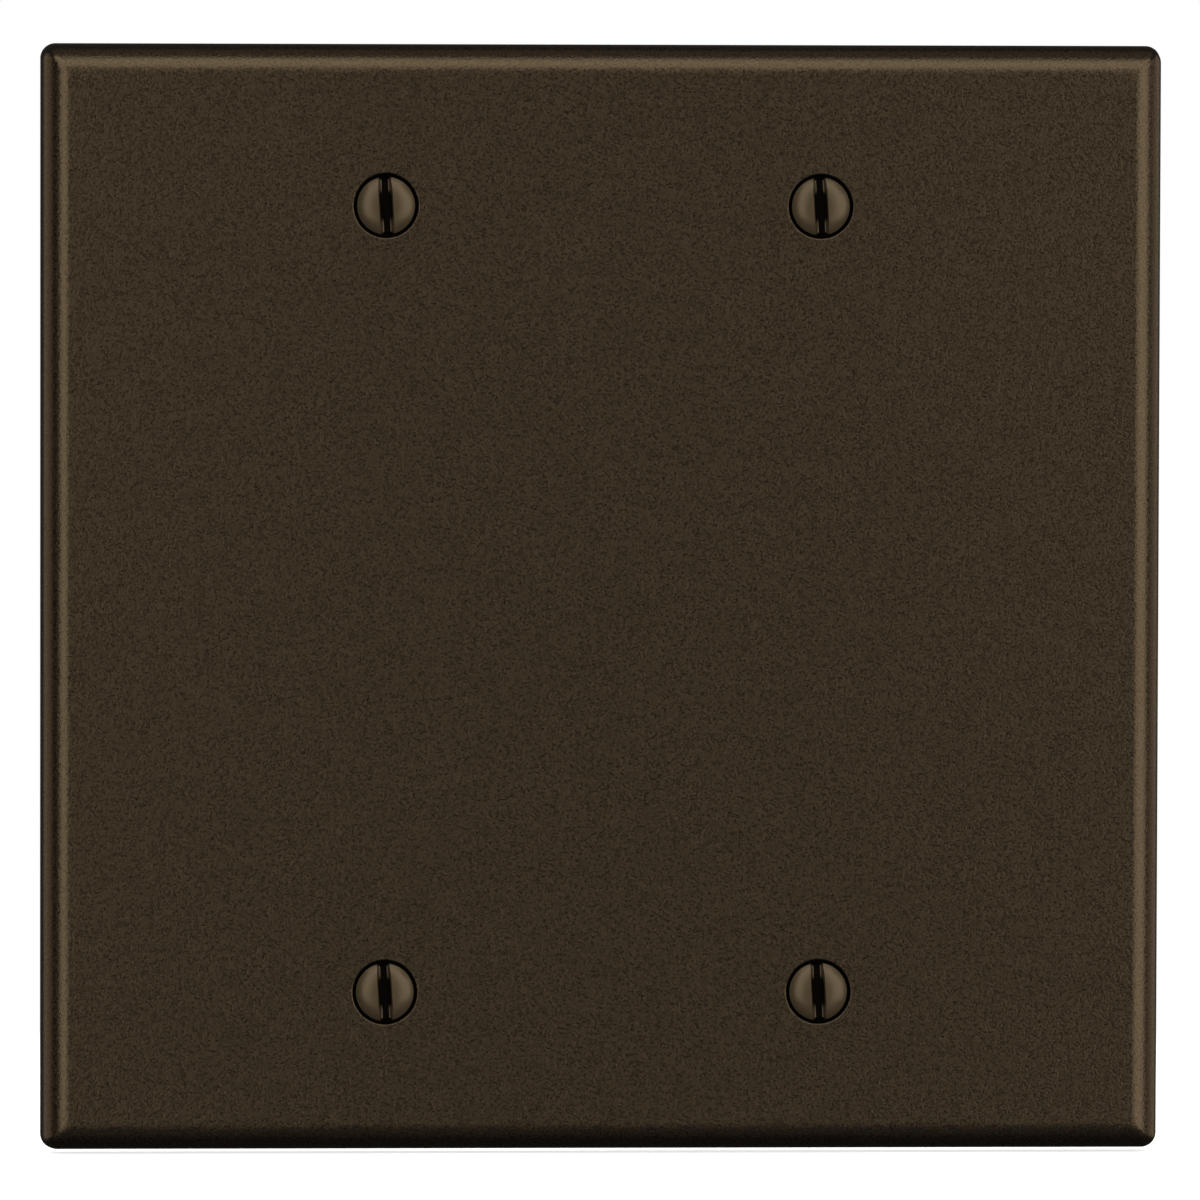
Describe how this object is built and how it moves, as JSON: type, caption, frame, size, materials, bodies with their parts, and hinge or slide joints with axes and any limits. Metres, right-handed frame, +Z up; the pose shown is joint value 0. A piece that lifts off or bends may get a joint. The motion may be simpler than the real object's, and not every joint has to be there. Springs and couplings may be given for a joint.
{
  "type": "wall plate cover",
  "caption": "Wide blank wall plate with rounded, mitred edges and a hollow back, held by captive slotted oval-head screws in countersunk holes.",
  "frame": {"origin": "centre of the plate's outline on the wall plane", "axes": "+X right and +Z up seen from the front, +Y into the wall, the face looks to -Y"},
  "size_m": [0.119, 0.0197, 0.1174],
  "materials": {
    "plate": "smooth semi-gloss dark brown moulded plastic",
    "screw": "steel screw with a glossy brown painted head",
    "retainer": "natural translucent nylon"
  },
  "bodies": {
    "plate": {"cover_plate": "plate"},
    "retainer_upper_left": {"retainer_upper_left": "retainer"},
    "screw_upper_left": {"screw_upper_left": "screw"},
    "retainer_upper_right": {"retainer_upper_right": "retainer"},
    "screw_upper_right": {"screw_upper_right": "screw"},
    "retainer_lower_left": {"retainer_lower_left": "retainer"},
    "screw_lower_left": {"screw_lower_left": "screw"},
    "retainer_lower_right": {"retainer_lower_right": "retainer"},
    "screw_lower_right": {"screw_lower_right": "screw"}
  },
  "joints": [
    {"name": "upper_left_travel", "type": "slide", "parent": "plate", "child": "retainer_upper_left", "axis": [0, -1, 0], "range_m": [0, 0.00198]},
    {"name": "upper_left_turn", "type": "hinge", "parent": "retainer_upper_left", "child": "screw_upper_left", "pos_m": [-0.02302, 0, 0.04167], "axis": [0, -1, 0], "range_deg": [0, 900]},
    {"name": "upper_right_travel", "type": "slide", "parent": "plate", "child": "retainer_upper_right", "axis": [0, -1, 0], "range_m": [0, 0.00198]},
    {"name": "upper_right_turn", "type": "hinge", "parent": "retainer_upper_right", "child": "screw_upper_right", "pos_m": [0.02302, 0, 0.04167], "axis": [0, -1, 0], "range_deg": [0, 900]},
    {"name": "lower_left_travel", "type": "slide", "parent": "plate", "child": "retainer_lower_left", "axis": [0, -1, 0], "range_m": [0, 0.00198]},
    {"name": "lower_left_turn", "type": "hinge", "parent": "retainer_lower_left", "child": "screw_lower_left", "pos_m": [-0.02302, 0, -0.04167], "axis": [0, -1, 0], "range_deg": [0, 900]},
    {"name": "lower_right_travel", "type": "slide", "parent": "plate", "child": "retainer_lower_right", "axis": [0, -1, 0], "range_m": [0, 0.00198]},
    {"name": "lower_right_turn", "type": "hinge", "parent": "retainer_lower_right", "child": "screw_lower_right", "pos_m": [0.02302, 0, -0.04167], "axis": [0, -1, 0], "range_deg": [0, 900]}
  ],
  "couplings": [
    {"joint": "upper_left_turn", "follows": "upper_left_travel", "rad_per_m": 7915.8},
    {"joint": "upper_right_turn", "follows": "upper_right_travel", "rad_per_m": 7915.8},
    {"joint": "lower_left_turn", "follows": "lower_left_travel", "rad_per_m": 7915.8},
    {"joint": "lower_right_turn", "follows": "lower_right_travel", "rad_per_m": 7915.8}
  ]
}
